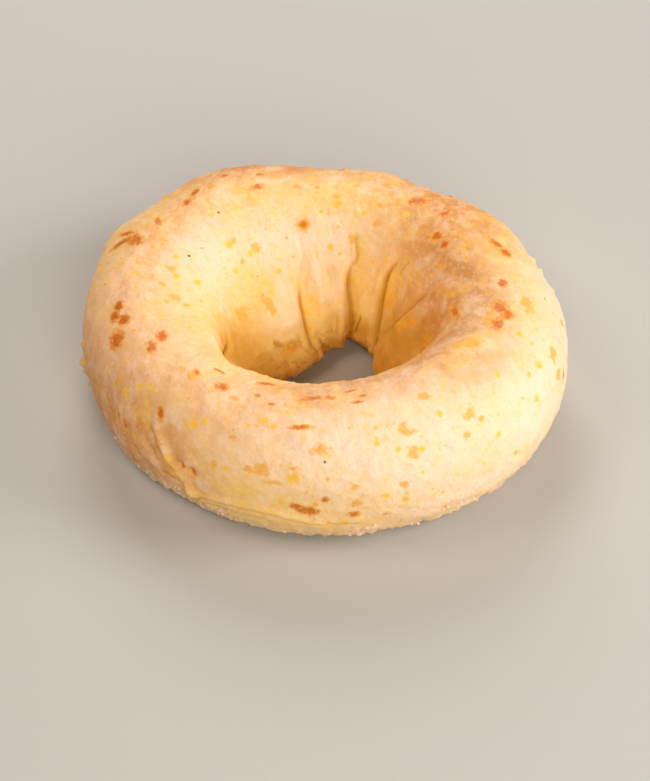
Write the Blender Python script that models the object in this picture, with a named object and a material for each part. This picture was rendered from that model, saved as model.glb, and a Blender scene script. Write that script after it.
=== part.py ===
"""Cheese bread ring: a hand-rolled rope of cheese dough, joined into a ring and baked on a flat tray.

Lengths are in metres and +Z is up. The ring rests on z = 0 with its outline centred on the origin.
Azimuth runs round the middle of the hole, anticlockwise from +X, and the ring's front is at 270 degrees.
The section angle runs round the rope: 0 faces outward, 90 up, 180 into the hole and 270 down.
"""
import math

import bpy
import numpy as np

MM = 0.001
NAME = "bread_ring"
COLLECTION = "cheese_bread_ring"

# Driving dimensions
RING_ACROSS = 112 * MM
RING_HEIGHT = 32.5 * MM
HOLE_ACROSS = 46 * MM

# The rope's section: a rounded square whose lowest part is flattened by the tray
WIDEST_LEVEL = 0.45
ROUNDNESS = 2.2
FLATTENED_DEPTH = 0.22

# Slow changes round the ring: how many times each repeats, with its cosine and sine heights
OUTLINE_WAVES = ((1, -1.0 * MM, 2.8 * MM), (2, 0.9 * MM, -2.6 * MM), (3, 1.1 * MM, 0.1 * MM))
HOLE_WAVES = ((1, 0.6 * MM, 0.3 * MM), (2, 0.6 * MM, 0.0))
HEIGHT_WAVES = ((1, 1.2 * MM, 0.2 * MM),)

# The foot of the hole's wall creeps inward, furthest in three lobes: azimuth, half-width in degrees and reach
FOOT_REACH = 9 * MM
FOOT_LOBES = (
    ("left back roll", 133, 49, 14.5 * MM),
    ("finger roll", 66, 9, 3.2 * MM),
    ("right lobe", 20, 30, 9 * MM),
)
FOOT_STARTS = 0.5
FOOT_ENDS = -0.65

# Bulges and hollows: azimuth, section angle, reach along the rope, reach round it, and height
SWELLS = (
    ("right shoulder", 37, 42, 8 * MM, 9 * MM, 1.5 * MM),
    ("right dip", 17, 30, 5 * MM, 9 * MM, -0.6 * MM),
    ("back dip", 90, 45, 8 * MM, 9 * MM, -0.9 * MM),
    ("back right bulge", 74, 45, 5 * MM, 8 * MM, 0.9 * MM),
    ("back left bulge", 118, 45, 8 * MM, 9 * MM, 1.2 * MM),
    ("upper left dent", 136, 42, 5 * MM, 8 * MM, -0.3 * MM),
    ("upper left knob", 148, 25, 5 * MM, 7 * MM, 1.4 * MM),
    ("left bulge", 212, -20, 8 * MM, 8 * MM, 0.8 * MM),
    ("front left hollow", 228, -30, 6 * MM, 8 * MM, -0.5 * MM),
    ("middle roll", 88, 184, 4 * MM, 8 * MM, 1.6 * MM),
    ("finger roll", 60, 192, 3 * MM, 8 * MM, 0.8 * MM),
    ("wall patch", 128, 184, 5 * MM, 3.5 * MM, 1.2 * MM),
    ("ledge under the patch", 138, 200, 7 * MM, 1.6 * MM, -1.6 * MM),
    ("lobe", 18, 186, 5 * MM, 8 * MM, 1.0 * MM),
    ("front rim", 285, 133, 10 * MM, 7 * MM, 0.7 * MM),
    ("front right rim", 315, 130, 9 * MM, 7 * MM, 0.4 * MM),
)

# Creases in the hole's wall, each running down between two rolls of dough: azimuth and section angle
# at its upper end, then at its lower end, half-width, depth, and the height of the roll beside it,
# which lies towards larger azimuths when positive
CREASES = (
    ("middle crease", 73, 146, 72, 226, 1.1 * MM, 2.4 * MM, 1.2 * MM),
    ("right crease", 50, 140, 38, 208, 1.0 * MM, 2.0 * MM, 0.6 * MM),
    ("lobe crease", 15, 118, 37, 214, 1.3 * MM, 1.6 * MM, -1.2 * MM),
    ("left crease", 104, 156, 106, 212, 1.1 * MM, 0.9 * MM, -0.5 * MM),
    ("roll end crease", 188, 152, 192, 222, 1.2 * MM, 2.0 * MM, -0.8 * MM),
)
CREASE_FADE = 0.3

# Quads round the ring and round the rope, narrower on the hole's wall than outside
QUADS_AROUND = 120
QUADS_ACROSS = 40
WALL_FINENESS = 0.4


def waves(azimuth, terms):
    """Sum of slow waves round the ring."""
    return sum(c * np.cos(n * azimuth) + s * np.sin(n * azimuth) for n, c, s in terms)


def rounded(value):
    """One coordinate of a unit rounded square, from the cosine or sine of its angle."""
    return np.sign(value) * np.abs(value) ** (2 / ROUNDNESS)


def turned(difference):
    """An angle difference brought to the nearest turn."""
    return (difference + math.pi) % (2 * math.pi) - math.pi


def foot_reach(azimuth):
    """How far the foot of the hole's wall creeps inward."""
    total = np.full_like(azimuth, FOOT_REACH)
    for _name, at, half, reach in FOOT_LOBES:
        total += reach * np.exp(-(turned(azimuth - math.radians(at)) / math.radians(half)) ** 4)
    return total


def plain_rope(azimuth, angle):
    """Radius and height of the rope before its swells and creases."""
    outer = RING_ACROSS / 2 + waves(azimuth, OUTLINE_WAVES)
    inner = HOLE_ACROSS / 2 + waves(azimuth, HOLE_WAVES)
    height = RING_HEIGHT + waves(azimuth, HEIGHT_WAVES)
    middle = (outer + inner) / 2
    half_width = (outer - inner) / 2
    level = WIDEST_LEVEL * height
    across = rounded(np.cos(angle))
    up = rounded(np.sin(angle))
    sunk = np.clip((FOOT_STARTS - up) / (FOOT_STARTS - FOOT_ENDS), 0, 1)
    lean = np.where(across < 0, foot_reach(azimuth) * sunk ** 2, 0)
    radius = middle + (half_width + lean) * across
    rise = np.where(up > 0, (height - level) * up, level * (1 + FLATTENED_DEPTH) * up)
    return radius, level + rise


def swell_height(azimuth, angle, radius):
    """How far the swells push the crust out of the plain rope."""
    total = np.zeros_like(azimuth)
    rope = (RING_ACROSS - HOLE_ACROSS) / 4
    for _name, at, facing, along, around, height in SWELLS:
        past = turned(azimuth - math.radians(at)) * radius / along
        over = turned(angle - math.radians(facing)) * rope / around
        total += height * np.exp(-(past ** 2 + over ** 2) / 2)
    return total


def crease_depth(azimuth, angle, radius):
    """How far the creases sink into the hole's wall, less the rolls that rise beside them."""
    total = np.zeros_like(azimuth)
    for _name, at_top, top, at_foot, foot, half, depth, roll in CREASES:
        run = (np.degrees(angle) % 360 - top) / (foot - top)
        line = np.radians(at_top + (at_foot - at_top) * run)
        past = turned(azimuth - line) * radius / half
        fade = np.clip(run / CREASE_FADE, 0, 1) * np.clip((1 - run) / CREASE_FADE + 1, 0, 1)
        beside = past - math.copysign(2.2, roll)
        total += fade * (depth * np.exp(-past ** 2 / 2) - abs(roll) * np.exp(-beside ** 2 / 2))
    return total


def crust(azimuth, angle):
    """Points of the finished crust, as x, y and z."""
    radius, height = plain_rope(azimuth, angle)
    push = swell_height(azimuth, angle, radius) - crease_depth(azimuth, angle, radius)
    radius = radius + push * np.cos(angle)
    height = np.maximum(height + push * np.sin(angle), 0.0)
    return radius * np.cos(azimuth), radius * np.sin(azimuth), height


def dough_material():
    """Pale baked cheese dough."""
    material = bpy.data.materials.new("baked_dough")
    material.use_nodes = True
    shader = material.node_tree.nodes["Principled BSDF"]
    shader.inputs["Base Color"].default_value = (0.86, 0.60, 0.30, 1)
    shader.inputs["Roughness"].default_value = 0.6
    shader.inputs["Metallic"].default_value = 0.0
    return material


def make_ring(collection):
    """The whole ring, from a torus whose points are moved onto the crust."""
    bpy.ops.mesh.primitive_torus_add(
        major_segments=QUADS_AROUND,
        minor_segments=QUADS_ACROSS,
        major_radius=2.0,
        minor_radius=1.0,
    )
    ring = bpy.context.object
    ring.name = ring.data.name = NAME
    for owner in list(ring.users_collection):
        owner.objects.unlink(ring)
    collection.objects.link(ring)
    points = np.empty(len(ring.data.vertices) * 3)
    ring.data.vertices.foreach_get("co", points)
    x, y, z = points.reshape(-1, 3).T
    azimuth = np.arctan2(y, x)
    angle = np.arctan2(z, np.hypot(x, y) - 2.0)
    angle += WALL_FINENESS * np.sin(angle)
    x, y, z = crust(azimuth, angle)
    x -= (x.min() + x.max()) / 2
    y -= (y.min() + y.max()) / 2
    ring.data.vertices.foreach_set("co", np.column_stack((x, y, z)).ravel())
    ring.data.update()
    ring.data.shade_smooth()
    ring.data.materials.append(dough_material())
    return ring


def main():
    for old in list(bpy.data.objects):
        bpy.data.objects.remove(old, do_unlink=True)
    collection = bpy.data.collections.new(COLLECTION)
    bpy.context.scene.collection.children.link(collection)
    make_ring(collection)


if __name__ == "__main__":
    main()
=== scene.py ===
"""Looks of the cheese bread ring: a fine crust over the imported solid, its loose crumbs, and a plain studio.

Shapes are worked out in millimetres and written to the meshes in metres. As in the solid, azimuth runs round
the middle of the hole from +X, with the front at 270 degrees, and the section angle runs round the rope's
core: 0 faces outward, 90 up, 180 into the hole and 270 down. Seen from above, left of a line means left of
the way its points run.
"""
import math
import bmesh
import bpy
import numpy as np
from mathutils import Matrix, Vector, noise
from mathutils.bvhtree import BVHTree


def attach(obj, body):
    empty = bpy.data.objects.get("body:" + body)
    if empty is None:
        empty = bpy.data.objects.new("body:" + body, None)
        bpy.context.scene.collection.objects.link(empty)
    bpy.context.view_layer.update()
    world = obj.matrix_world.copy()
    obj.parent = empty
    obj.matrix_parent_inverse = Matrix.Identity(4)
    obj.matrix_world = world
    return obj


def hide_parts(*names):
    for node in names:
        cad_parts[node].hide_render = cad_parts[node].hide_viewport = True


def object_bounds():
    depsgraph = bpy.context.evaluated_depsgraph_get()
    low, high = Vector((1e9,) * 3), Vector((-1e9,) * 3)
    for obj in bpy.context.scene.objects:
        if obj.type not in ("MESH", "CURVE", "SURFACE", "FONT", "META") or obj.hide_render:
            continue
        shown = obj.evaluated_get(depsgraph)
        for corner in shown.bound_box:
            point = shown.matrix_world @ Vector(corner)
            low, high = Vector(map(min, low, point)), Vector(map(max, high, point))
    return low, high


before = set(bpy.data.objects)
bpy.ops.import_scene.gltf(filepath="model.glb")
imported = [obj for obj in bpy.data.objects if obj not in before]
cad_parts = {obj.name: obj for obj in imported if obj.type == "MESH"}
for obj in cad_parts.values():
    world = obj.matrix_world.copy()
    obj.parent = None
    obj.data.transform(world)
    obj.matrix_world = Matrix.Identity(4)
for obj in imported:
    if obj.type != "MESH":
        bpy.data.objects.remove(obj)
CAD_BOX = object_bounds()

MM = 0.001
NODE = "bread_ring"
LOW = np.array(CAD_BOX[0]) / MM
HIGH = np.array(CAD_BOX[1]) / MM

# The middle of the hole, a little in front of the middle of the outline, and the level of the rope's core
HOLE = np.array([0.2, -3.0])
CORE_LEVEL = 0.45 * HIGH[2]

# The crust's quads: round the ring and round the rope, coarser where it lies on the tray
COLUMNS = 600
ROWS = 164
RAYS = 480
TRAY_CONTACT = 0.5
UNDERSIDE_SHARE = 0.3

# Blurs that take out the solid's facets: round the ring in columns, and round the rope in millimetres
CORE_BLUR = 20
FACET_COLUMNS = 2
WALL_COLUMNS = 10
FACET_BLUR = 1.1
ROW_LENGTH = 0.6

# Section angles between which the hole's wall begins, and between which it ends at the foot
WALL_BEGINS = (125, 155)
WALL_ENDS = (240, 215)

# The plain crust sinks this far to leave room in the solid's box for the relief, except near the tray, below
# these levels, and in the hole, past these cosines of the section angle
RELIEF_ROOM = 0.25
ROOM_LEVELS = (1.2, 0.2)
ROOM_COSINES = (-0.4, -0.8)

# Lumpiness all over: height and size of the largest lumps
LUMPS = ((0.30, 9.0), (0.17, 3.2), (0.10, 1.3))
LUMP_OCTAVES = 3
SEED_SHIFT = Vector((17.3, 5.1, 11.7))

# Lines where dough meets dough: points as azimuth and section angle, width of the rounded edge on the left
# and on the right, depth, height of the roll on the left, how far that roll hangs over the line, and how much
# painted shade the line gets, where more than 1 paints a dark crevice shadow
LINES = (
    ("middle crease",
     ((77, 228), (73, 214), (71, 206), (69, 201), (70, 195), (72, 188), (75, 173), (75, 160), (74, 150)),
     1.8, 2.6, 1.9, 0.9, 0.2, 0.9),
    ("above the middle crease", ((76, 160), (72, 150), (73, 139), (76, 128)), 0.8, 1.8, 0.6, 0.2, 0.1, 0.6),
    ("groove on the middle roll", ((80, 202), (81, 188)), 0.5, 0.6, 0.4, 0.1, 0.0, 0.4),
    ("crease between rolls", ((73, 216), (70, 206), (65, 201), (63, 196), (62, 189)),
     0.8, 1.4, 1.1, 0.3, 0.2, 0.45),
    ("right crease", ((40, 212), (45, 201), (48, 194), (51, 181), (52, 158), (50, 144), (47, 134)),
     1.4, 2.8, 1.8, 0.7, 0.15, 0.9),
    ("beside the right crease", ((41, 131), (43, 140), (46, 152)), 0.5, 0.8, 0.35, 0.1, 0.0, 0.3),
    ("lobe edge", ((19, 136), (22, 156), (24, 165), (29, 181), (38, 197), (45, 210)),
     1.7, 2.8, 1.1, 0.9, 0.15, 0.1),
    ("left crease", ((98, 204), (107, 196), (110, 190), (110, 186), (109, 180), (107, 170)),
     1.5, 2.6, 1.1, 0.5, 0.1, 0.9),
    ("fold above the left crease", ((107, 166), (103, 148), (105, 132)), 0.8, 1.6, 0.35, 0.1, 0.0, 0.0),
    ("crease under the middle roll", ((99, 195), (92, 200), (85, 206), (77, 216)),
     1.0, 1.6, 0.9, 0.4, 0.4, 0.5),
    ("step under the patch", ((152, 190), (147, 191), (140, 193), (132, 193), (125, 194), (118, 192)),
     0.9, 3.4, 2.0, 0.9, 0.4, 0.2),
    ("ridge beside the recess", ((121, 193), (120, 204), (123, 214)), 0.6, 1.2, 0.5, 0.3, 0.1, 0.2),
    ("end of the left roll", ((211, 143), (205, 151), (198, 158), (190, 167), (185, 169), (180, 162)),
     0.6, 2.8, 1.6, 0.2, 0.0, 4.8),
    ("slant on the left roll", ((148, 150), (146, 160), (145, 173)), 0.4, 0.8, 0.3, 0.15, 0.1, 0.0),
    ("crack in the knob", ((156, 20), (153, 34), (152, 45), (147, 56)), 0.6, 0.8, 0.25, 0.3, 0.1, 0.0),
    ("crack at the front left", ((213, 52), (216, 44), (219, 37), (220, 27), (220, 12), (221, 350)),
     0.4, 0.6, 0.15, 0.05, 0.0, 0.2),
    ("edge of the flap", ((219, 28), (224, 15), (227, 3), (231, 351), (234, 337), (238, 326)),
     1.4, 3.0, 1.7, 1.3, 0.0, 0.0),
    ("lip of the foot", ((219, 341), (228, 345), (236, 337), (246, 342), (257, 342), (269, 335), (284, 337)),
     1.2, 0.9, 0.9, 0.5, 0.4, 0.1),
    ("second fold of the lip", ((232, 331), (242, 331), (252, 334), (264, 328)),
     0.8, 0.7, 0.4, 0.1, 0.2, 0.1),
    ("fold at the right", ((323, 102), (327, 96), (334, 88), (342, 72)), 2.0, 1.2, 0.35, 0.2, 0.0, 0.0),
    ("front stretch mark", ((246, 22), (243, 34), (242, 44)), 0.35, 0.8, 0.2, 0.15, 0.0, 0.0),
    ("mark at the front", ((262, 12), (270, 6), (277, 356)), 0.4, 0.6, 0.25, 0.15, 0.1, 0.0),
)
PATH_STEPS = 8
LINE_FADE = 0.22

# The roll's width and the start of its lean, as shares of the rounded edge on the left
ROLL_WIDTH = 0.7
LEAN_STARTS = 0.35

# Half-widths of a line's core of painted shade and of the golden painted shade beside it, which lies to the
# right
CREASE_SHADE_WIDTH = 0.5
GOLDEN_SHADE_WIDTH = 2.0
GOLDEN_SHADE_SHIFT = 0.5
GOLDEN_SHADE_MOST = 0.9

# Fine stretch wrinkles: points and depth
WRINKLES = (
    (((204, 88), (213, 96), (226, 100)), 0.14),
    (((201, 102), (210, 108), (222, 113)), 0.16),
    (((207, 96), (217, 104), (230, 106)), 0.10),
    (((196, 116), (200, 130), (204, 144)), 0.14),
    (((191, 94), (195, 107), (200, 119)), 0.12),
    (((187, 130), (188, 145), (185, 160)), 0.12),
    (((319, 96), (324, 90), (331, 86)), 0.14),
    (((316, 90), (321, 84), (328, 79)), 0.12),
    (((88, 150), (85, 164), (83, 178)), 0.16),
    (((96, 140), (94, 156), (92, 170)), 0.12),
    (((119, 162), (117, 174), (119, 182)), 0.14),
    (((60, 150), (59, 166), (57, 180)), 0.10),
)
WRINKLE_WIDTH = 0.45
WRINKLE_FADE = 0.4

# Soft ridges and hollows drawn with a broad brush: points, half-width and height
STROKES = (
    ("ridge right of the left crease", ((99, 150), (97, 163), (93, 177), (89, 190)), 1.4, 0.8),
    ("valley beside that ridge", ((91, 154), (88, 168), (86, 178)), 1.1, -0.4),
    ("hollow left of the left crease", ((124, 152), (128, 166), (133, 176)), 1.6, -0.5),
    ("left roll", ((142, 152), (141, 168), (139, 182)), 2.0, 0.5),
    ("left roll's foot", ((162, 201), (143, 200), (120, 199), (101, 201)), 2.6, 1.1),
    ("hollow at the left corner", ((228, 124), (216, 138), (206, 150), (194, 160)), 3.2, -1.6),
    ("big roll", ((82, 150), (80, 168), (79, 182)), 2.0, 0.5),
    ("hollow under the big roll", ((94, 203), (84, 203)), 1.6, -0.9),
    ("hollow of the middle crease", ((71, 206), (70, 196), (73, 176), (74, 156)), 2.6, -0.7),
    ("hollow of the right crease", ((40, 205), (45, 192), (48, 172), (48, 148)), 2.6, -0.7),
    ("bright patch", ((138, 186), (128, 187), (116, 186)), 2.0, 1.3),
    ("finger roll", ((64, 176), (62, 190), (60, 206)), 1.6, 0.6),
    ("hollow by the lobe", ((35, 152), (39, 172), (43, 190)), 1.6, -0.6),
    ("lobe", ((8, 150), (14, 172), (24, 190)), 3.0, 0.6),
    ("hollow right of the lobe", ((345, 140), (350, 160), (356, 178)), 3.0, -0.7),
    ("hollow band by the flap", ((217, 22), (222, 2), (229, 340)), 1.6, -0.4),
    ("pale ridge left of the band", ((213, 24), (215, 8), (219, 350)), 0.5, 0.25),
)
STROKE_FADE = 0.3
STROKE_ENDS = 0.3

# Toasted cheese spots: azimuth, section angle, length round the ring, width round the rope, and turn
TOASTED = (
    (193, 50, 4.6, 3.8, -15), (182, 59, 3.0, 2.4, 0), (185, 53, 3.4, 2.2, 0), (188, 61, 3.0, 2.8, 0),
    (222, 39, 3.2, 1.5, -50), (203, 73, 3.4, 2.0, -20), (200, 85, 3.4, 2.4, -15), (233, 84, 3.2, 2.1, 0),
    (246, 106, 4.2, 1.6, 15), (252, 82, 1.4, 1.3, 0), (265, 94, 4.6, 1.4, 8), (263, 65, 4.4, 1.0, 5),
    (263, 357, 2.6, 1.9, -20), (266, 352, 4.6, 2.2, -10), (270, 5, 1.6, 1.6, 0), (209, 10, 1.8, 0.9, -60),
    (212, 8, 2.8, 0.9, -50), (145, 63, 2.8, 1.8, 40), (155, 44, 6.8, 2.0, 115), (154, 57, 4.2, 3.2, 60),
    (151, 44, 4.6, 1.5, 80), (134, 65, 2.6, 1.8, 20), (113, 81, 3.2, 1.5, 10), (110, 66, 1.8, 1.3, 0),
    (55, 85, 4.4, 2.6, 40), (44, 86, 3.0, 1.5, 60), (38, 104, 2.5, 2.0, 45), (32, 107, 2.3, 2.1, 0),
    (353, 122, 4.6, 1.6, 10), (351, 86, 4.2, 3.4, 20), (343, 84, 3.8, 2.6, 10), (348, 80, 2.8, 2.6, 0),
    (3, 83, 2.6, 1.9, 0), (23, 72, 3.2, 1.7, 30), (18, 70, 3.4, 1.9, 20), (100, 125, 2.0, 1.8, 0),
    (129, 59, 2.8, 1.7, 30), (119, 56, 2.5, 1.4, 20), (222, 84, 2.4, 1.0, -10), (283, 92, 2.2, 0.8, 5),
    (280, 100, 3.2, 0.7, 0), (281, 87, 2.4, 0.8, 0), (277, 349, 2.4, 1.6, 0), (232, 6, 1.3, 1.1, 0),
    (235, 3, 2.2, 1.4, -30), (272, 94, 2.6, 1.2, -20), (227, 99, 2.8, 0.9, 10), (246, 88, 1.2, 1.1, 0),
)

# Paler tan and orange spots, listed in the same way
TAN = (
    (255, 64, 1.4, 1.2, 0), (244, 48, 2.2, 1.3, 0), (254, 29, 4.0, 2.6, 5), (269, 49, 4.0, 2.2, 0),
    (241, 20, 1.2, 2.2, 0), (257, 19, 3.8, 1.0, 0), (152, 79, 2.4, 1.2, 60), (164, 98, 2.4, 1.9, 0),
    (125, 65, 1.8, 1.5, 0), (134, 122, 1.6, 1.3, 0), (173, 94, 1.9, 1.6, 0), (178, 106, 2.4, 1.8, 30),
    (182, 115, 1.4, 1.3, 0), (100, 85, 1.8, 1.6, 0), (79, 85, 1.8, 1.2, 0), (85, 98, 2.2, 1.6, 0),
    (67, 102, 1.3, 1.3, 0), (66, 118, 1.8, 1.9, 0), (76, 134, 1.2, 2.4, 0), (126, 137, 2.4, 2.8, 0),
    (137, 142, 1.3, 1.9, 0), (24, 120, 2.0, 1.6, 20), (7, 125, 2.3, 1.7, 0), (355, 66, 5.4, 2.8, 10),
    (14, 92, 1.5, 1.1, 0), (302, 78, 3.2, 2.0, -20), (293, 56, 3.8, 1.6, -10), (293, 37, 2.8, 3.6, 0),
    (311, 50, 3.0, 2.3, 0), (313, 43, 1.5, 1.5, 0), (290, 14, 2.3, 1.6, 0), (301, 334, 1.8, 2.4, 0),
    (278, 1, 1.8, 2.0, 0), (210, 339, 1.6, 1.6, 0), (214, 5, 2.0, 1.5, 0), (331, 94, 6.5, 3.2, -50),
    (354, 162, 5.0, 3.6, 0), (15, 168, 3.4, 3.0, 0), (240, 78, 2.4, 1.4, 0), (222, 80, 2.6, 1.8, 0),
    (218, 79, 1.6, 1.4, 0), (250, 27, 2.0, 1.6, 0), (203, 6, 1.3, 1.2, 0), (204, 32, 1.7, 1.4, 0),
    (38, 106, 3.2, 2.6, 20), (182, 98, 1.3, 1.2, 0), (179, 108, 1.8, 1.4, 0), (292, 60, 2.0, 1.4, 0),
    (301, 80, 1.6, 1.2, 0), (308, 37, 1.8, 1.3, 0), (277, 17, 2.2, 1.6, 0), (285, 343, 1.4, 1.2, 0),
    (285, 5, 2.0, 1.5, 0), (174, 58, 1.0, 0.9, 0), (164, 69, 1.3, 1.1, 0), (26, 93, 2.0, 1.5, 0),
    (20, 99, 1.6, 1.2, 0), (31, 92, 1.5, 1.3, 0), (345, 92, 5.0, 2.0, 10), (262, 32, 1.6, 1.4, 0),
    (277, 1, 2.0, 1.6, 0), (134, 178, 2.6, 6.0, 0), (100, 125, 3.6, 3.2, 0), (154, 172, 3.6, 3.4, 0),
    (137, 195, 5.0, 1.8, 0), (46, 176, 1.6, 4.0, 0), (22, 178, 3.0, 4.0, 20),
)

# Small bright yellow flecks of cheese: azimuth, section angle and width
YELLOW = (
    (85, 106, 2.0), (73, 110, 1.3), (62, 148, 1.4), (130, 138, 1.6), (143, 144, 1.5), (87, 143, 1.3),
    (137, 123, 1.8), (167, 105, 1.6), (175, 72, 1.2), (190, 92, 1.3), (165, 124, 1.6), (233, 46, 1.6),
    (236, 51, 1.4), (255, 63, 1.3), (252, 67, 1.7), (342, 68, 1.5), (325, 63, 1.4), (333, 46, 1.4),
    (338, 44, 2.0), (331, 28, 1.6), (295, 39, 1.4), (303, 60, 1.4), (316, 26, 1.3), (285, 5, 1.3),
    (290, 357, 1.6), (212, 45, 1.5), (214, 52, 1.4), (242, 334, 1.8), (78, 196, 1.3), (96, 188, 1.2),
    (118, 160, 1.0), (92, 114, 1.0), (123, 97, 1.4), (133, 92, 1.4), (56, 101, 1.5), (157, 97, 1.4),
    (208, 31, 1.8), (244, 20, 1.3), (231, 356, 1.6), (228, 8, 1.4), (248, 60, 1.2), (262, 24, 2.4),
    (275, 338, 1.6), (106, 192, 1.6), (107, 186, 1.6), (101, 180, 1.3), (150, 205, 1.4), (289, 44, 1.2),
    (284, 52, 1.3),
)

# Broad areas of dough in another colour, some of them painted light and painted shade: azimuth, section
# angle, length, width, and turn where there is one
# Paler dough, partly painted light on the lit right side and on tops that face the light
PALE_AND_LIT_AREAS = (
    (330, 20, 60, 28), (0, 10, 46, 26), (296, 38, 50, 28), (276, 48, 44, 18), (108, 136, 26, 12),
    (150, 118, 22, 13), (96, 140, 24, 11), (128, 184, 9, 6), (96, 168, 3, 10), (84, 178, 5, 9),
    (308, 344, 44, 10), (118, 176, 4, 9),
)
# Peach dough, partly painted shade on sides that lie in shade
PEACH_AND_SHADE_AREAS = (
    (208, 15, 36, 22), (24, 112, 50, 22), (45, 80, 44, 18), (8, 134, 40, 20), (105, 55, 60, 16),
    (262, 98, 50, 10), (44, 172, 6, 9), (312, 108, 44, 13), (205, 350, 34, 14), (222, 2, 13, 2.6, -52),
    (150, 80, 40, 12), (298, 95, 60, 11),
)
# Painted shade: darker brown dough on sides that lie in shade
BROWN_SHADE_AREAS = (
    (100, 46, 56, 12), (50, 70, 34, 16), (212, 0, 44, 24), (285, 106, 70, 9), (16, 112, 44, 10),
    (352, 138, 26, 15), (328, 114, 30, 10), (206, 12, 40, 20), (214, 342, 34, 12), (52, 66, 26, 12),
)
PINK_AREAS = ((184, 55, 40, 20), (206, 80, 34, 18), (236, 70, 30, 16))
GOLD_AREAS = (
    (255, 5, 18, 6), (230, 356, 11, 2.4, -52), (235, 336, 6, 2.6, -50), (331, 94, 9, 5, -50),
    (270, 350, 50, 9),
)
# Painted shade: deep golden dough low in the hole and under its rolls
DEEP_SHADE_AREAS = (
    (178, 184, 17, 13), (196, 166, 16, 9), (14, 186, 20, 14), (356, 168, 14, 10), (60, 198, 8, 5),
    (178, 198, 20, 9), (8, 198, 20, 9), (172, 193, 9, 5), (10, 193, 10, 6), (176, 175, 6, 5),
)

# Painted shade on the hole's wall: golden between these section angles, most in its hollows, and deeper near
# the tray
GOLDEN_BEGINS = (158, 206)
GOLDEN_ENDS = (250, 225)
GOLDEN_SHARE = 0.65
GOLDEN_LOSS = 0.3
GOLDEN_LEAST = 0.1
# Share and levels of the deep painted shade near the tray in the hole
DEEP_SHADE_SHARE = 0.7
DEEP_SHADE_LEVELS = (10, 4)

# Cheese spots drawn at random where the lists above don't reach: azimuths, section angles and how many, then
# the ranges of their width and of their length in widths
MORE_SPOTS = (
    (8, 172, -25, 34, 46),
    (200, 345, 142, 205, 30),
    (-20, 8, -20, 40, 12),
    (172, 200, -28, -12, 5),
)
SPOT_WIDTHS = (1.2, 2.4)
SPOT_STRETCH = (1, 1.8)

# Dark specks of burnt cheese: azimuth and section angle
DARK = ((154, 108), (270, 39), (130, 93))
SPECK_RADIUS = 0.3
SPECK_FLATNESS = 0.5

# Nubs that stand out of the crust, and pits that sink into it: azimuth, section angle, half-width and height
NUBS = (
    (84, 57, 0.7, 0.9), (183, 354, 1.0, 1.5), (184, 348, 0.8, 0.9), (180, 4, 0.8, 0.8),
    (190, 352, 1.0, 0.8), (41, 64, 0.7, 0.7), (30, 52, 0.7, 0.6), (152, 20, 0.8, 0.6),
    (98, 201, 0.8, 1.2), (12, 25, 0.6, 0.5), (59, 57, 0.6, 0.5), (51, 55, 0.6, 0.65), (44, 57, 0.6, 0.6),
    (38, 56, 0.9, 0.6), (32, 54, 0.6, 0.55), (27, 48, 0.6, 0.7), (21, 36, 0.8, 0.8), (17, 35, 0.6, 0.6),
    (132, 31, 0.7, 0.4), (120, 45, 0.6, 0.3), (231.5, 6, 0.7, -1.0), (234.5, 4, 1.0, -1.1),
    (217, 41, 0.5, -0.3), (272, 333, 1.6, -0.7), (228, 104, 0.8, -0.3),
)

# Seeds of the random pimples, spots and lumps
PIMPLE_SEED = 3
SPOT_SEED = 5
LUMP_SEED = 7

# Faint pimples all over: how many, and ranges of their section angle, half-width and height
PIMPLES = 620
PIMPLE_ANGLES = (-30, 230)
PIMPLE_WIDTHS = (0.4, 0.9)
PIMPLE_HEIGHTS = (-0.15, 0.3)

# The torn lower edge: how far and over what size its upper limit wanders, its tatters' size and their heights
# outside and in the hole, and the levels between which the tatters, the foot in the hole with its painted
# shade, the lip outside and the tray side fade in downwards. The tatters fade out again above the floor
WANDER = 3
WANDER_SIZE = 8
TATTER_SIZE = 1.8
TATTERS_OUTSIDE = 0.8
TATTERS_IN_HOLE = 0.6
TATTER_LEVELS = (8, 2)
TATTER_FLOOR = (0, 0.8)
FOOT_LEVELS = (13, 3)
LIP_LEVELS = (9, 4)
TRAY_LEVELS = (1.6, 0.3)

# Crumbs on that edge: how many, the middle and spread of their section angle, a cluster's reach round the
# ring and round the rope in degrees, how blurred clusters are, the least radius, what the largest add to it,
# and ranges of flatness and of how far they stand out, in radii
CRUMBS = 800
CRUMB_ANGLE = 322
CRUMB_SPREAD = 7
CLUSTER_AZIMUTH = 4
CLUSTER_ANGLE = 20
CLUSTER_BLUR = 0.3
CRUMB_RADIUS = 0.16
CRUMB_GROWTH = 0.30
CRUMB_FLATNESS = (0.4, 0.8)
CRUMB_STANDS = (-0.5, 0.0)

# How much the outline of a crumb or speck swells, how finely, and how far it is stretched
SWELL = 1.1
SWELL_FINENESS = 2.1
STRETCH = (0.8, 1.3)

# Colours of the dough, its painted light and shade, its cheese from yellow to toasted, and the painted shade
# of its creases, its foot and its tray side
DOUGH = (0.90, 0.58, 0.21)
PALE_AND_LIT_DOUGH = (0.93, 0.70, 0.54)
PEACH_AND_SHADE_DOUGH = (0.80, 0.385, 0.12)
BROWN_SHADE_DOUGH = (0.60, 0.23, 0.05)
PINK_DOUGH = (0.88, 0.52, 0.28)
GOLD_DOUGH = (0.96, 0.58, 0.12)
# Golden painted shade on the hole's wall and beside the creases
GOLDEN_SHADE_DOUGH = (0.88, 0.59, 0.10)
DEEP_SHADE_DOUGH = (0.64, 0.285, 0.018)
CREAM = (0.95, 0.71, 0.50)
LIP_DOUGH = (0.89, 0.63, 0.42)
YELLOW_CHEESE = (0.95, 0.54, 0.06)
TAN_CHEESE = (0.87, 0.40, 0.04)
AMBER_CHEESE = (0.74, 0.25, 0.02)
TOASTED_CHEESE = (0.62, 0.145, 0.010)
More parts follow.
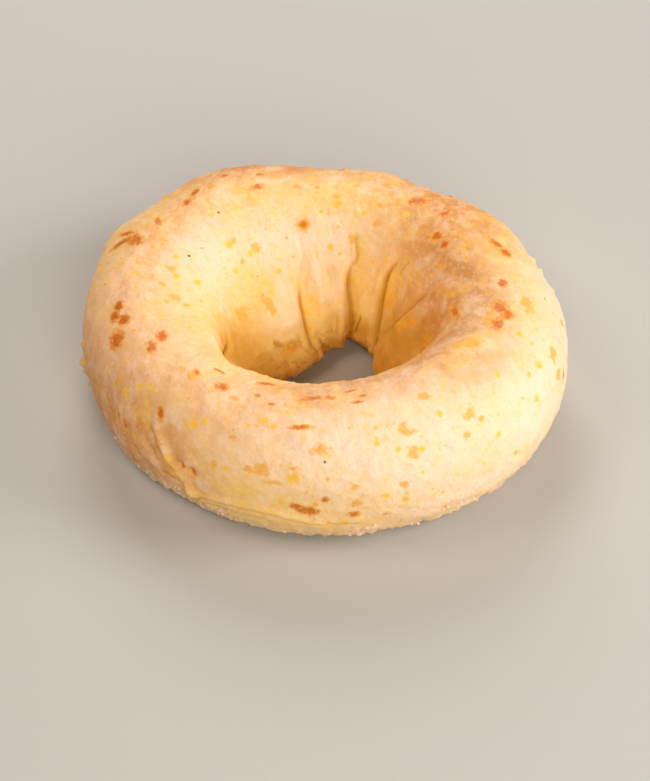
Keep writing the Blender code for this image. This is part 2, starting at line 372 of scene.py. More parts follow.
# Painted shade in the creases, and a dark painted shadow in the deepest crevice
CREASE_SHADE_DOUGH = (0.60, 0.26, 0.014)
CREVICE_SHADOW_DOUGH = (0.26, 0.095, 0.010)
FOOT_BLOTCH_AND_SHADE_DOUGH = (0.55, 0.20, 0.022)
TRAY_DOUGH = (0.66, 0.36, 0.12)
BURNT_CHEESE = (0.10, 0.05, 0.02)

# Dough colours laid over each other, some of them painted light and shade, each with the areas its mark
# covers
TINTS = (
    ("peach_and_shade", PEACH_AND_SHADE_DOUGH, PEACH_AND_SHADE_AREAS),
    ("brown_shade", BROWN_SHADE_DOUGH, BROWN_SHADE_AREAS),
    ("pink", PINK_DOUGH, PINK_AREAS),
    ("gold", GOLD_DOUGH, GOLD_AREAS),
    ("pale", PALE_AND_LIT_DOUGH, PALE_AND_LIT_AREAS),
)

# A tint starts where its mark and the noise on it pass the first of these levels, and is full from the
# second on, with this share of its colour
TINT_EDGE = (-0.05, 0.95)
TINT_MOST = 0.9

# Mottling of the dough: colour, size, where the noise starts and fills, strength, and share on pale dough
MOTTLING = (
    ("cream clouds", CREAM, 4.5, 0.42, 0.68, 0.50, 0.9),
    ("golden clouds", GOLD_DOUGH, 6.0, 0.48, 0.70, 0.38, 1.0),
    ("blush", PINK_DOUGH, 3.4, 0.47, 0.72, 0.22, 0.3),
    ("golden flecks", YELLOW_CHEESE, 2.4, 0.56, 0.65, 0.45, 0.7),
    ("amber flecks", TAN_CHEESE, 1.9, 0.60, 0.68, 0.45, 0.5),
    ("cream veins", CREAM, 1.3, 0.52, 0.68, 0.28, 0.7),
    ("fine freckles", TAN_CHEESE, 0.75, 0.57, 0.70, 0.32, 0.6),
)

# Flecks scattered all over: colour, cell size, radius and share of cells that have one, and seed
FLECKS = (
    (TAN_CHEESE, 3.2, 0.17, 0.60, 3.0),
    (YELLOW_CHEESE, 2.6, 0.19, 0.45, 5.0),
    (AMBER_CHEESE, 4.4, 0.10, 0.60, 3.5),
)
FLECK_STRENGTH = 0.8

# Blotchy colours near the floor: mark, colour, size of the blotches, where their noise starts and fills,
# least and greatest strength, and seed
BLOTCHES = (
    # Brown blotches low in the hole, partly painted shade that darkens towards the floor
    ("foot", FOOT_BLOTCH_AND_SHADE_DOUGH, 1.8, 0.48, 0.70, 0.0, 1.0, 6.0),
    ("lip", LIP_DOUGH, 2.4, 0.36, 0.60, 0.2, 0.9, 6.5),
    ("tray", TRAY_DOUGH, 5.0, 0.3, 0.6, 0.4, 0.95, 6.8),
)

# How strongly a crease's painted shade is laid, and the marks between which it becomes a dark painted shadow
CREASE_SHADE_STRENGTH = 0.9
CREVICE_SHADOW_MARKS = (1.1, 3.2)

# Light inside the dough: its share, its depth in millimetres, how much of that depth red, green and blue
# reach, and how strongly the dough reflects
SOFT_SHARE = 0.1
SOFT_DEPTH = 1.5
SOFT_RADII = (1.0, 0.5, 0.2)
DOUGH_SPECULAR = 0.2


def smooth_step(low, high, value):
    """0 below low, 1 above high, and an S curve between."""
    share = np.clip((value - low) / (high - low), 0, 1)
    return share * share * (3 - 2 * share)


def smoothed(grid, columns, rows):
    """A wrapped grid blurred by a Gaussian, whose widths are in columns and rows."""
    waves = np.fft.fft2(grid, axes=(0, 1))
    for axis, width in ((0, columns), (1, rows)):
        turns = np.fft.fftfreq(grid.shape[axis])
        keep = np.exp(-2 * (math.pi * turns * width) ** 2)
        shape = [1] * grid.ndim
        shape[axis] = len(keep)
        waves = waves * keep.reshape(shape)
    return np.fft.ifft2(waves, axes=(0, 1)).real


def noise_field(grid, size, octaves, seed):
    """Fractal noise at each point of a grid, with largest lumps of the given size."""
    shift = SEED_SHIFT * seed
    values = [noise.fractal(Vector(p) / size + shift, 1.0, 2.0, octaves) for p in grid.reshape(-1, 3)]
    return np.array(values).reshape(grid.shape[:2])


# The crust's plain surface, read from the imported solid

def solid_tree():
    """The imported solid, ready for ray casting, in millimetres."""
    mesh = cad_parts[NODE].data
    corners = [v.co / MM for v in mesh.vertices]
    return BVHTree.FromPolygons(corners, [tuple(p.vertices) for p in mesh.polygons])


def ring_point(radius, azimuth, height):
    """A point from its distance to the hole's axis, azimuth and height."""
    return Vector((HOLE[0] + radius * math.cos(azimuth), HOLE[1] + radius * math.sin(azimuth), height))


def core_radii(tree, azimuths):
    """Distance of the rope's core from the hole's axis: half way between the hole's wall and the outside."""
    reach = HIGH[0] * 2
    middles = []
    for azimuth in azimuths:
        outward = Vector((math.cos(azimuth), math.sin(azimuth), 0))
        inner = tree.ray_cast(ring_point(0, azimuth, CORE_LEVEL), outward)[3]
        outer = reach - tree.ray_cast(ring_point(reach, azimuth, CORE_LEVEL), -outward)[3]
        middles.append((inner + outer) / 2)
    return smoothed(np.array(middles)[:, None], CORE_BLUR, 0)[:, 0]


def section(tree, core, azimuth):
    """One section of the solid as evenly spaced points, from under the core round by the outside."""
    middle = ring_point(core, azimuth, CORE_LEVEL)
    points = []
    for angle in np.linspace(-math.pi / 2, 1.5 * math.pi, RAYS, endpoint=False):
        outward, upward = math.cos(angle), math.sin(angle)
        way = Vector((math.cos(azimuth) * outward, math.sin(azimuth) * outward, upward))
        points.append(tree.ray_cast(middle, way)[0])
    points.append(points[0])
    points = np.array(points)
    steps = np.linalg.norm(np.diff(points, axis=0), axis=1)
    on_tray = np.maximum(points[1:, 2], points[:-1, 2]) < TRAY_CONTACT
    travelled = np.concatenate(([0], np.cumsum(steps * np.where(on_tray, UNDERSIDE_SHARE, 1))))
    stops = np.linspace(0, travelled[-1], ROWS, endpoint=False)
    return np.column_stack([np.interp(stops, travelled, points[:, axis]) for axis in range(3)])


def plain_crust():
    """The solid's surface as a fine wrapped grid of points without its facets, and its core's radii."""
    tree = solid_tree()
    azimuths = np.linspace(0, 2 * math.pi, COLUMNS, endpoint=False)
    cores = core_radii(tree, azimuths)
    sections = np.array([section(tree, core, azimuth) for core, azimuth in zip(cores, azimuths)])
    grid = smoothed(sections, FACET_COLUMNS, FACET_BLUR / ROW_LENGTH)
    angles = section_angles(grid, cores)
    wall = smooth_step(*WALL_BEGINS, angles) * smooth_step(*WALL_ENDS, angles)
    broad = smoothed(sections, WALL_COLUMNS, FACET_BLUR / ROW_LENGTH)
    return grid + (broad - grid) * wall[..., None], cores


def unit(vectors):
    """The same vectors at length 1."""
    return vectors / np.linalg.norm(vectors, axis=-1, keepdims=True)


def grid_axes(grid):
    """At each point of a wrapped grid: the ways round the ring, round the rope and out of the crust."""
    along = unit(np.roll(grid, -1, axis=0) - np.roll(grid, 1, axis=0))
    outward = unit(np.cross(along, np.roll(grid, -1, axis=1) - np.roll(grid, 1, axis=1)))
    return along, np.cross(outward, along), outward


def section_angles(grid, cores):
    """Section angle of each point of the grid, in degrees from 0 to 360."""
    radius = np.hypot(grid[..., 0] - HOLE[0], grid[..., 1] - HOLE[1])
    return np.degrees(np.arctan2(grid[..., 2] - CORE_LEVEL, radius - cores[:, None])) % 360


class Crust:
    """The plain crust, with the relief and the colour marks laid on it so far."""

    def __init__(self):
        self.grid, cores = plain_crust()
        self.along, self.around, self.outward = grid_axes(self.grid)
        self.angles = section_angles(self.grid, cores)
        self.height = np.zeros(self.angles.shape)
        self.slide = np.zeros(self.grid.shape)
        self.marks = {}

    def seat(self, azimuth, angle):
        """Column and row of the point at an azimuth and section angle, in degrees."""
        column = round(azimuth / 360 * COLUMNS) % COLUMNS
        gaps = np.abs((self.angles[column] - angle + 180) % 360 - 180)
        return column, int(np.argmin(gaps))

    def mark(self, name, strength):
        """Lays a colour mark wherever it is stronger than what was laid before."""
        before = self.marks.get(name, 0)
        self.marks[name] = np.maximum(before, strength)

    def finished(self):
        """The crust's points with the relief, kept inside the solid's box."""
        moved = self.grid + self.outward * self.height[..., None] + self.slide
        return np.clip(moved, LOW, HIGH)


# Relief

def smooth_path(crust, points):
    """A smooth curve on the crust through points given as azimuth and section angle."""
    corners = np.array([crust.grid[crust.seat(*point)] for point in points])
    padded = np.vstack((2 * corners[0] - corners[1], corners, 2 * corners[-1] - corners[-2]))
    path = []
    for before, start, end, after in zip(padded, padded[1:], padded[2:], padded[3:]):
        for share in np.linspace(0, 1, PATH_STEPS, endpoint=False):
            bend = 2 * before - 5 * start + 4 * end - after
            twist = 3 * start - before - 3 * end + after
            path.append(start + ((end - before) * share + bend * share ** 2 + twist * share ** 3) / 2)
    path.append(corners[-1])
    return np.array(path)


def path_field(crust, path):
    """For each point of the crust: distance from a path, offset to its left, run from 0 to 1, way left."""
    distance = np.full(crust.angles.shape, np.inf)
    offset = np.zeros(crust.angles.shape)
    run = np.zeros(crust.angles.shape)
    leftward = np.zeros(crust.grid.shape)
    travelled = np.concatenate(([0], np.cumsum(np.linalg.norm(np.diff(path, axis=0), axis=1))))
    for index, (start, end) in enumerate(zip(path, path[1:])):
        way = end - start
        length = np.linalg.norm(way)
        share = np.clip((crust.grid - start) @ way / length ** 2, 0, 1)
        gap = crust.grid - start - share[..., None] * way
        far = np.linalg.norm(gap, axis=-1)
        left = np.cross(crust.outward, way / length)
        closer = far < distance
        distance = np.where(closer, far, distance)
        offset = np.where(closer, np.copysign(far, (left * gap).sum(-1)), offset)
        leftward = np.where(closer[..., None], left, leftward)
        run = np.where(closer, (travelled[index] + share * length) / travelled[-1], run)
    return distance, offset, run, leftward


def rolled_edge(share):
    """1 at the line, falling like a quarter of an ellipse to 0 where the share of its reach is 1."""
    return 1 - np.sqrt(1 - (1 - np.clip(share, 0, 1)) ** 2)


def tapered(run, ends):
    """0 at both ends of a path, 1 between."""
    return smooth_step(0, ends, run) * smooth_step(0, ends, 1 - run)


def lay_line(crust, points, left_reach, right_reach, depth, roll, overhang, toasted):
    """Cuts one line where dough meets dough, leans the roll on its left over it, and paints shade in and
    beside it.
    """
    distance, offset, run, leftward = path_field(crust, smooth_path(crust, points))
    fade = tapered(run, LINE_FADE)
    share = distance / np.where(offset > 0, left_reach, right_reach)
    crust.height -= depth * fade * rolled_edge(share)
    crust.height += roll * fade * np.exp(-((offset / left_reach - 1) / ROLL_WIDTH) ** 2)
    leaning = smooth_step(0, LEAN_STARTS, share) * np.exp(-share ** 2) * (offset > 0)
    crust.slide -= (overhang * fade * leaning)[..., None] * leftward
    # Painted shade along the line, stronger as toasted grows; past 1 it paints a dark crevice shadow
    crust.mark("crease", toasted * fade * np.exp(-(distance / CREASE_SHADE_WIDTH) ** 2))
    # Golden painted shade on the line's right side
    golden = min(toasted, GOLDEN_SHADE_MOST) * np.exp(-(offset / GOLDEN_SHADE_WIDTH + GOLDEN_SHADE_SHIFT) ** 2)
    crust.mark("golden_shade", fade * golden)


def lay_wrinkle(crust, points, depth):
    """Sinks one fine wrinkle between two faint ridges."""
    distance, _offset, run, _leftward = path_field(crust, smooth_path(crust, points))
    share = distance / WRINKLE_WIDTH
    crust.height -= depth * tapered(run, WRINKLE_FADE) * (1 - share ** 2) * np.exp(-share ** 2 / 2)


def lay_stroke(crust, points, half_width, height):
    """Raises or sinks one soft stroke."""
    distance, _offset, run, _leftward = path_field(crust, smooth_path(crust, points))
    fade = tapered(run, STROKE_FADE) * (1 - STROKE_ENDS) + STROKE_ENDS
    crust.height += height * fade * np.exp(-(distance / half_width) ** 2)


def lay_spot(crust, name, azimuth, angle, length, width, turn=0):
    """Marks one oval spot: 1 in its middle, falling evenly to 0 at its length and width."""
    seat = crust.seat(azimuth, angle)
    gap = crust.grid - crust.grid[seat]
    tilt = math.radians(turn)
    axis = crust.along[seat] * math.cos(tilt) + crust.around[seat] * math.sin(tilt)
    along = gap @ axis
    across = np.sqrt(np.clip((gap ** 2).sum(-1) - along ** 2, 0, None))
    crust.mark(name, np.clip(1 - np.hypot(along / length, across / width), 0, 1))


def lay_relief(crust):
    """All the crust's relief, from broad to fine."""
    grid = crust.grid
    on_tray = smooth_step(*ROOM_LEVELS, grid[..., 2])
    in_hole = smooth_step(*ROOM_COSINES, np.cos(np.radians(crust.angles)))
    crust.height -= RELIEF_ROOM * (1 - on_tray) * (1 - in_hole)
    for seed, (height, size) in enumerate(LUMPS):
        crust.height += height * noise_field(grid, size, LUMP_OCTAVES, seed + 1)
    for _name, *line in LINES:
        lay_line(crust, *line)
    for wrinkle in WRINKLES:
        lay_wrinkle(crust, *wrinkle)
    for _name, *stroke in STROKES:
        lay_stroke(crust, *stroke)
    lay_foot(crust)
    lay_nubs(crust)


def lay_nubs(crust):
    """The nubs and pits that are listed, and faint seeded pimples all over."""
    draw = np.random.default_rng(PIMPLE_SEED)
    pimples = []
    for _pimple in range(PIMPLES):
        azimuth, angle = draw.uniform(0, 360), draw.uniform(*PIMPLE_ANGLES) % 360
        pimples.append((azimuth, angle, draw.uniform(*PIMPLE_WIDTHS), draw.uniform(*PIMPLE_HEIGHTS)))
    for azimuth, angle, half_width, height in (*NUBS, *pimples):
        gap = crust.grid - crust.grid[crust.seat(azimuth, angle)]
        crust.height += height * np.exp(-(gap ** 2).sum(-1) / half_width ** 2)


def lay_foot(crust):
    """Roughens the crust's lower edge into torn dough, and marks the foot's painted shade, its lip and the
    tray side.
    """
    level = crust.grid[..., 2]
    outside = np.cos(np.radians(crust.angles)) > 0
    uneven = level + WANDER * noise_field(crust.grid, WANDER_SIZE, octaves=2, seed=6)
    edge = smooth_step(*TATTER_LEVELS, uneven) * smooth_step(*TATTER_FLOOR, level)
    torn = noise_field(crust.grid, TATTER_SIZE, octaves=4, seed=5)
    crust.height += edge * np.where(outside, TATTERS_OUTSIDE, TATTERS_IN_HOLE) * torn
    # Brown blotches and painted shade low in the hole, darker towards the floor
    crust.mark("foot", smooth_step(*FOOT_LEVELS, level) * ~outside)
    crust.mark("lip", smooth_step(*LIP_LEVELS, uneven) * outside)
    crust.mark("tray", smooth_step(*TRAY_LEVELS, level))


def lay_colours(crust):
    """All the crust's colour marks, painted light and painted shade among them."""
    draw = np.random.default_rng(SPOT_SEED)
    for spot in TOASTED:
        lay_spot(crust, "toast", *spot)
    for spot in TAN:
        lay_spot(crust, "tan", *spot)
    for azimuth, angle, width in YELLOW:
        lay_spot(crust, "cheese", azimuth, angle, width, width)
    for *zone, count in MORE_SPOTS:
        for _spot in range(count):
            lay_random_spot(crust, zone, draw)
    for name, _colour, areas in TINTS:
        for area in areas:
            lay_spot(crust, name, *area)
    # Deep painted shade low in the hole
    for area in DEEP_SHADE_AREAS:
        lay_spot(crust, "deep_shade", *area)
    # Golden painted shade on the hole's wall, strongest in its hollows, and deep painted shade near the tray
    wall = smooth_step(*GOLDEN_BEGINS, crust.angles) * smooth_step(*GOLDEN_ENDS, crust.angles)
    crust.mark("golden_shade", wall * np.clip(GOLDEN_SHARE - GOLDEN_LOSS * crust.height, GOLDEN_LEAST, 1))
    crust.mark("deep_shade", DEEP_SHADE_SHARE * wall * smooth_step(*DEEP_SHADE_LEVELS, crust.grid[..., 2]))


def lay_random_spot(crust, zone, draw):
    """One cheese spot drawn at random between two azimuths and two section angles."""
    name = draw.choice(("toast", "tan", "tan", "cheese"))
    azimuth, angle = draw.uniform(*zone[:2]) % 360, draw.uniform(*zone[2:]) % 360
    width = draw.uniform(*SPOT_WIDTHS)
    lay_spot(crust, name, azimuth, angle, width * draw.uniform(*SPOT_STRETCH), width, draw.uniform(0, 90))


# Meshes

def add_piece(name, mesh, material):
    """Adds a mesh to the scene as a piece of the crust."""
    mesh.materials.append(material)
    mesh.shade_smooth()
    piece = bpy.data.objects.new(name, mesh)
    bpy.context.scene.collection.objects.link(piece)
    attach(piece, "root")
    return piece


def crust_mesh(crust):
    """The finished crust as one closed mesh, with its colour marks as attributes."""
    mesh = bpy.data.meshes.new("crust")
    column, row = np.meshgrid(np.arange(COLUMNS), np.arange(ROWS), indexing="ij")
    right, above = (column + 1) % COLUMNS, (row + 1) % ROWS
    here, beside = column * ROWS, right * ROWS
    quads = np.stack((here + row, beside + row, beside + above, here + above), -1)
    points = crust.finished().reshape(-1, 3) * MM
    mesh.from_pydata(points.tolist(), [], quads.reshape(-1, 4).tolist())
    across = np.stack((column, column + 1, column + 1, column), -1) / COLUMNS
    up = np.stack((row, row, row + 1, row + 1), -1) / ROWS
    mesh.uv_layers.new(name="OFBake").data.foreach_set("uv", np.stack((across, up), -1).ravel())
    for name, strength in crust.marks.items():
        mesh.attributes.new(name, "FLOAT", "POINT").data.foreach_set("value", strength.ravel())
    return mesh


def ball(subdivisions):
    """Points and triangles of a unit ball."""
    shape = bmesh.new()
    bmesh.ops.create_icosphere(shape, subdivisions=subdivisions, radius=1)
    points = np.array([v.co for v in shape.verts])
    faces = np.array([[v.index for v in f.verts] for f in shape.faces])
    shape.free()
    return points, faces


def lumps_mesh(name, crust, lumps, draw):
    """Small rough lumps in the crust: each has a seat, a radius, a flatness and how far it stands out."""
    ball_points, ball_faces = ball(2)
    surface = crust.finished()
    points, faces = [], []
    for seat, radius, flatness, stands in lumps:
        shift = Vector(draw.uniform(-50, 50, 3))
        bumps = [noise.noise(Vector(p) * SWELL_FINENESS + shift) for p in ball_points]
        swell = 1 + SWELL * np.array(bumps)
        shape = ball_points * swell[:, None] * radius * np.array([draw.uniform(*STRETCH), 1, flatness])
        turn = draw.uniform(0, math.tau)
        side = crust.along[seat] * math.cos(turn) + crust.around[seat] * math.sin(turn)
        axes = np.array([side, np.cross(crust.outward[seat], side), crust.outward[seat]])
        middle = surface[seat] + crust.outward[seat] * radius * stands
        faces.append(ball_faces + len(points) * len(ball_points))
        points.append(np.clip(middle + shape @ axes, LOW, HIGH))
    mesh = bpy.data.meshes.new(name)
    mesh.from_pydata((np.concatenate(points) * MM).tolist(), [], np.concatenate(faces).tolist())
    return mesh


def crumb_seats(crust, draw):
    """Torn crumbs along the lower edge, in clusters, thickest where the rope turns under."""
    lumps = []
    while len(lumps) < CRUMBS:
        azimuth = draw.uniform(0, 360)
        angle = draw.normal(CRUMB_ANGLE, CRUMB_SPREAD)
        cluster = noise.noise(Vector((azimuth / CLUSTER_AZIMUTH, angle / CLUSTER_ANGLE, 0)))
        crowded = cluster + draw.uniform(-CLUSTER_BLUR, CLUSTER_BLUR)
        radius = CRUMB_RADIUS + CRUMB_GROWTH * draw.random() ** 2
        if crowded > 0:
            seat = crust.seat(azimuth, angle)
            lumps.append((seat, radius, draw.uniform(*CRUMB_FLATNESS), draw.uniform(*CRUMB_STANDS)))
    return lumps


# Materials

class Shader:
    """A new material's nodes, with short calls to wire them."""

    def __init__(self, name):
        self.material = bpy.data.materials.new(name)
        self.material.use_nodes = True
        self.tree = self.material.node_tree
        self.surface = self.tree.nodes["Principled BSDF"]
        self.place = self.tree.nodes.new("ShaderNodeTexCoord").outputs["Object"]

    def put(self, value, socket):
        """Gives a socket a number, a colour or another node's output."""
        if isinstance(value, bpy.types.NodeSocket):
            self.tree.links.new(value, socket)
        elif isinstance(value, tuple):
            socket.default_value = (*value, 1)
        else:
            socket.default_value = value

    def noise(self, size, detail=2.0, roughness=0.55, seed=0.0):
        """Fractal noise round 0.5, with lumps of the given size in millimetres."""
        node = self.tree.nodes.new("ShaderNodeTexNoise")
        node.noise_dimensions = "4D"
        self.put(self.place, node.inputs["Vector"])
        self.put(seed, node.inputs["W"])
        self.put(1 / (size * MM), node.inputs["Scale"])
        self.put(detail, node.inputs["Detail"])
        self.put(roughness, node.inputs["Roughness"])
        return node.outputs["Fac"]

    def cells(self, size, seed=0.0):
        """Distance from the nearest of scattered points, in cells, and that point's random colour."""
        node = self.tree.nodes.new("ShaderNodeTexVoronoi")
        node.voronoi_dimensions = "4D"
        self.put(self.place, node.inputs["Vector"])
        self.put(seed, node.inputs["W"])
        self.put(1 / (size * MM), node.inputs["Scale"])
        return node.outputs["Distance"], node.outputs["Color"]

    def mark(self, name):
        """A colour mark laid on the mesh."""
        node = self.tree.nodes.new("ShaderNodeAttribute")
        node.attribute_name = name
        return node.outputs["Fac"]

    def math(self, operation, first, second=0.0, third=0.0):
        """One sum on numbers or other nodes' outputs."""
        node = self.tree.nodes.new("ShaderNodeMath")
        node.operation = operation
        for value, socket in zip((first, second, third), node.inputs):
            self.put(value, socket)
        return node.outputs["Value"]

    def times(self, first, second):
        """The product of two values."""
        return self.math("MULTIPLY", first, second)

    def step(self, value, low, high, bottom=0.0, top=1.0):
        """A smooth step from bottom to top as the value goes from low to high."""
        node = self.tree.nodes.new("ShaderNodeMapRange")
        node.interpolation_type = "SMOOTHSTEP"
        entries = {"Value": value, "From Min": low, "From Max": high, "To Min": bottom, "To Max": top}
        for name, entry in entries.items():
            self.put(entry, node.inputs[name])
        return node.outputs["Result"]

    def mix(self, factor, first, second):
        """A mix of two colours."""
        node = self.tree.nodes.new("ShaderNodeMix")
        node.data_type = "RGBA"
        self.put(factor, node.inputs["Factor"])
        self.put(first, node.inputs[6])
        self.put(second, node.inputs[7])
        return node.outputs[2]

    def bump(self, height, distance, after=None):
        """Fine relief: a height from 0 to 1, times a distance in millimetres."""
        node = self.tree.nodes.new("ShaderNodeBump")
        self.put(height, node.inputs["Height"])
        self.put(distance * MM, node.inputs["Distance"])
        self.put(1.0, node.inputs["Strength"])
        if after is not None:
            self.put(after, node.inputs["Normal"])
        return node.outputs["Normal"]

    def wire(self, colour, roughness, relief):
        """Gives the surface its colour, roughness and fine relief."""
        self.put(colour, self.surface.inputs["Base Color"])
        self.put(roughness, self.surface.inputs["Roughness"])
        self.put(relief, self.surface.inputs["Normal"])


def ragged(shader, name, wobble, size, low, high, seed):
    """A mark with a ragged outline: noise is added to it, and the sum is stepped up from low to high."""
    uneven = shader.times(shader.math("SUBTRACT", shader.noise(size, 3.0, 0.65, seed), 0.5), wobble)
    return shader.step(shader.math("ADD", shader.mark(name), uneven), low, high)


def wandering(shader):
    """Noise round 0 that makes the outlines of broad areas wander."""
    return shader.math("MULTIPLY_ADD", shader.noise(5, 3.0, 0.6, seed=0.5), 0.8, -0.4)


def tinted_dough(shader):
    """Dough in its tints, some painted light and shade, with wandering outlines, and mottled from clouds to
    freckles.
    """
    colour = DOUGH
    covers = {}
    for name, tint, _areas in TINTS:
        field = shader.math("ADD", shader.mark(name), wandering(shader))
        covers[name] = shader.step(field, *TINT_EDGE, top=TINT_MOST)
        colour = shader.mix(covers[name], colour, tint)
    for seed, (_name, tint, size, low, high, strength, on_pale) in enumerate(MOTTLING):
        patches = shader.step(shader.noise(size, 4.0, 0.62, seed + 1.0), low, high, top=strength)
        kept = shader.math("MULTIPLY_ADD", covers["pale"], on_pale - 1, 1.0)
        colour = shader.mix(shader.times(patches, kept), colour, tint)
    return colour


def shaded_wall(shader, colour):
    """Painted shade on the hole's wall and the creases' sides in golden dough, deeper in its lower corners.
    """
    uneven = shader.step(shader.noise(3.0, 3.0, 0.6, seed=0.7), 0.3, 0.6, bottom=0.6)
    colour = shader.mix(shader.times(shader.mark("golden_shade"), uneven), colour, GOLDEN_SHADE_DOUGH)
    # Deep painted shade in the hole's lower corners
    ragged_deep_shade = shader.math("MULTIPLY_ADD", wandering(shader), 0.6, shader.mark("deep_shade"))
    return shader.mix(shader.step(ragged_deep_shade, 0.05, 0.90, top=0.85), colour, DEEP_SHADE_DOUGH)


def flecks(shader, colour, tint, size, radius, share, seed):
    """Small flecks all over: one in each cell of the given size, where the cell's draw allows it."""
    distance, draw = shader.cells(size, seed)
    channels = shader.tree.nodes.new("ShaderNodeSeparateColor")
    shader.put(draw, channels.inputs["Color"])
    chosen = shader.math("LESS_THAN", channels.outputs[0], share)
    own_radius = shader.math("MULTIPLY_ADD", channels.outputs[1], radius, radius * 0.5)
    outline = shader.noise(radius * size * 0.9, 2.0, 0.6, seed)
    wobble = shader.math("MULTIPLY_ADD", outline, radius * 1.6, radius * -0.8)
    field = shader.math("SUBTRACT", own_radius, shader.math("ADD", distance, wobble))
    inside = shader.step(field, 0.0, radius * 0.35)
    return shader.mix(shader.times(shader.times(inside, chosen), FLECK_STRENGTH), colour, tint)


def blotches(shader, colour, mark, tint, size, low, high, least, most, seed):
    """One of the blotchy colours near the floor."""
    uneven = shader.step(shader.noise(size, 4.0, 0.7, seed), low, high, least, most)
    return shader.mix(shader.times(shader.mark(mark), uneven), colour, tint)


def toasted_halo(shader):
    """The tan rim round each toasted spot."""
    return ragged(shader, "toast", wobble=1.2, size=1.3, low=0.10, high=0.60, seed=8.0)


def cheese_spots(shader, colour):
    """The placed spots: tan ones, toasted ones in a tan halo, and yellow flecks in a golden glow."""
    tan = ragged(shader, "tan", wobble=1.6, size=1.2, low=0.24, high=0.75, seed=7.0)
    colour = shader.mix(shader.times(tan, 0.8), colour, TAN_CHEESE)
    colour = shader.mix(shader.times(toasted_halo(shader), 0.75), colour, TAN_CHEESE)
    toast = ragged(shader, "toast", wobble=1.4, size=1.0, low=0.26, high=0.80, seed=8.5)
    browned = shader.step(shader.noise(7.0, 2.0, 0.5, seed=8.8), 0.40, 0.60, bottom=0.85)
    colour = shader.mix(shader.times(toast, browned), colour, TOASTED_CHEESE)
    glow = ragged(shader, "cheese", wobble=1.2, size=1.6, low=0.10, high=0.60, seed=9.5)
    colour = shader.mix(shader.times(glow, 0.5), colour, GOLD_DOUGH)
    yellow = ragged(shader, "cheese", wobble=1.8, size=0.7, low=0.38, high=0.70, seed=9.0)
    return shader.mix(yellow, colour, YELLOW_CHEESE)


def crease_shade(shader, colour):
    """Painted shade in the creases, and a dark painted shadow where a line is marked beyond 1."""
    mark = shader.mark("crease")
    colour = shader.mix(shader.times(mark, CREASE_SHADE_STRENGTH), colour, CREASE_SHADE_DOUGH)
    return shader.mix(shader.step(mark, *CREVICE_SHADOW_MARKS), colour, CREVICE_SHADOW_DOUGH)


def crust_material():
    """The whole crust: mottled dough, painted light and shade, flecks, blotches, placed spots and crease
    shade.
    """
    shader = Shader("crust")
    colour = shaded_wall(shader, tinted_dough(shader))
    for row in FLECKS:
        colour = flecks(shader, colour, *row)
    for row in BLOTCHES:
        colour = blotches(shader, colour, *row)
    colour = crease_shade(shader, cheese_spots(shader, colour))
    gloss = shader.step(shader.noise(2.5, 2.0, 0.6, seed=10.0), 0.3, 0.7, bottom=0.60, top=0.45)
    roughness = shader.math("MULTIPLY_ADD", toasted_halo(shader), -0.08, gloss)
    skin = shader.bump(shader.noise(1.5, 4.0, 0.55, seed=11.0), distance=0.3)
    pores, _draw = shader.cells(1.2, seed=12.0)
    relief = shader.bump(shader.step(pores, 0.45, 0.0), distance=0.07, after=skin)
    shader.wire(colour, roughness, relief)
    soften(shader)
    return shader.material


def soften(shader):
    """Lets a little light into the dough."""
    shader.put(SOFT_SHARE, shader.surface.inputs["Subsurface Weight"])
    shader.put(SOFT_DEPTH * MM, shader.surface.inputs["Subsurface Scale"])
    shader.surface.inputs["Subsurface Radius"].default_value = SOFT_RADII
    shader.put(DOUGH_SPECULAR, shader.surface.inputs["Specular IOR Level"])


def crumb_material():
    """Torn pale dough, toasted here and there."""
    shader = Shader("crumb")
    pale = shader.step(shader.noise(1.4, 3.0, 0.6, seed=20.0), 0.4, 0.6)
    toasted = shader.step(shader.noise(2.2, 3.0, 0.6, seed=21.0), 0.54, 0.64, top=0.6)
    colour = shader.mix(toasted, shader.mix(pale, LIP_DOUGH, CREAM), TAN_CHEESE)
    roughness = shader.step(shader.noise(0.6, 2.0, 0.6, seed=22.0), 0.3, 0.7, bottom=0.75, top=0.55)
    relief = shader.bump(shader.noise(0.3, 3.0, 0.6, seed=23.0), distance=0.12)
    shader.wire(colour, roughness, relief)
    soften(shader)
    return shader.material


def speck_material():
    """Burnt cheese."""
    shader = Shader("burnt_cheese")
    colour = shader.mix(shader.noise(0.2), BURNT_CHEESE, TOASTED_CHEESE)
    roughness = shader.step(shader.noise(0.3), 0.3, 0.7, bottom=0.4, top=0.6)
    relief = shader.bump(shader.noise(0.15), distance=0.05)
    shader.wire(colour, roughness, relief)
    return shader.material


# The studio

CAMERA_AIM = (0.0002, -0.0096, 0.0078)
CAMERA_DISTANCE = 0.7
CAMERA_ELEVATION = math.radians(42.8)
CAMERA_LENS = 137.8
CAMERA_NEAR = 0.01

# Lights: azimuth, elevation, width, power and colour
LIGHTS = (
    ("key", 354, 24, 0.45, 4.9, (1.0, 0.97, 0.91)),
    ("back", 95, 38, 0.45, 3.9, (1.0, 0.95, 0.88)),
    ("front", 282, 32, 0.45, 3.95, (1.0, 0.95, 0.83)),
    ("left", 185, 56, 0.45, 2.1, (1.0, 0.82, 0.69)),
)
LIGHT_DISTANCE = 0.8
LIGHT_AIM = (0, 0, 0.015)
SKY_COLOUR = (1.0, 0.95, 0.90)
SKY_STRENGTH = 0.06
FLOOR_COLOUR = (0.48, 0.47, 0.46)
FLOOR_ROUGHNESS = 0.8
FLOOR_SIZE = 6


def direction(azimuth, elevation):
    """The way to an azimuth and elevation in degrees."""
    turn, rise = math.radians(azimuth), math.radians(elevation)
    return Vector((math.cos(turn) * math.cos(rise), math.sin(turn) * math.cos(rise), math.sin(rise)))


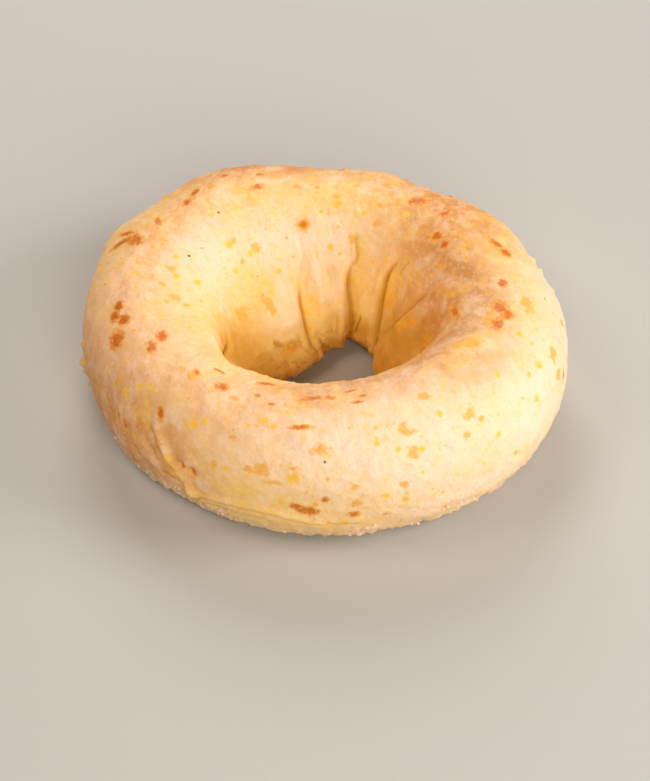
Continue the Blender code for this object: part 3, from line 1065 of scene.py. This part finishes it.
def aim(thing, target):
    """Turns a light or camera towards a point."""
    thing.rotation_euler = (Vector(target) - thing.location).to_track_quat("-Z", "Y").to_euler()


def make_light(name, azimuth, elevation, size, power, colour):
    """A round soft light, aimed at the ring."""
    light = bpy.data.lights.new(name, "AREA")
    light.shape = "DISK"
    light.size = size
    light.energy = power
    light.color = colour
    lamp = bpy.data.objects.new(name, light)
    bpy.context.scene.collection.objects.link(lamp)
    lamp.location = direction(azimuth, elevation) * LIGHT_DISTANCE
    aim(lamp, LIGHT_AIM)


def make_camera():
    """The photo's camera: in front of the ring and above it."""
    camera = bpy.data.objects.new("camera", bpy.data.cameras.new("camera"))
    bpy.context.scene.collection.objects.link(camera)
    camera.data.lens = CAMERA_LENS
    camera.data.clip_start = CAMERA_NEAR
    back = Vector((0, -math.cos(CAMERA_ELEVATION), math.sin(CAMERA_ELEVATION)))
    camera.location = Vector(CAMERA_AIM) + back * CAMERA_DISTANCE
    aim(camera, CAMERA_AIM)
    bpy.context.scene.camera = camera


def make_floor():
    """A plain pale floor."""
    shader = Shader("floor")
    shader.put(FLOOR_COLOUR, shader.surface.inputs["Base Color"])
    shader.put(FLOOR_ROUGHNESS, shader.surface.inputs["Roughness"])
    bpy.ops.mesh.primitive_plane_add(size=FLOOR_SIZE)
    floor = bpy.context.object
    floor.name = "floor"
    floor.data.materials.append(shader.material)


def make_world():
    """A faint, even sky, and colours shown as they are."""
    world = bpy.data.worlds.new("studio")
    world.use_nodes = True
    sky = world.node_tree.nodes["Background"]
    sky.inputs["Color"].default_value = (*SKY_COLOUR, 1)
    sky.inputs["Strength"].default_value = SKY_STRENGTH
    bpy.context.scene.world = world
    bpy.context.scene.view_settings.view_transform = "Standard"


def make_studio():
    """The camera, the sky, the floor and the lights."""
    make_camera()
    make_world()
    make_floor()
    for light in LIGHTS:
        make_light(*light)


def make_bread():
    """The crust and the small lumps sunk in it."""
    crust = Crust()
    lay_relief(crust)
    lay_colours(crust)
    piece = add_piece("crust", crust_mesh(crust), crust_material())
    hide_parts(NODE)
    draw = np.random.default_rng(LUMP_SEED)
    add_piece("crumbs", lumps_mesh("crumbs", crust, crumb_seats(crust, draw), draw), crumb_material())
    specks = [(crust.seat(*spot), SPECK_RADIUS, SPECK_FLATNESS, 0.0) for spot in DARK]
    add_piece("burnt_specks", lumps_mesh("burnt_specks", crust, specks, draw), speck_material())


make_studio()
make_bread()
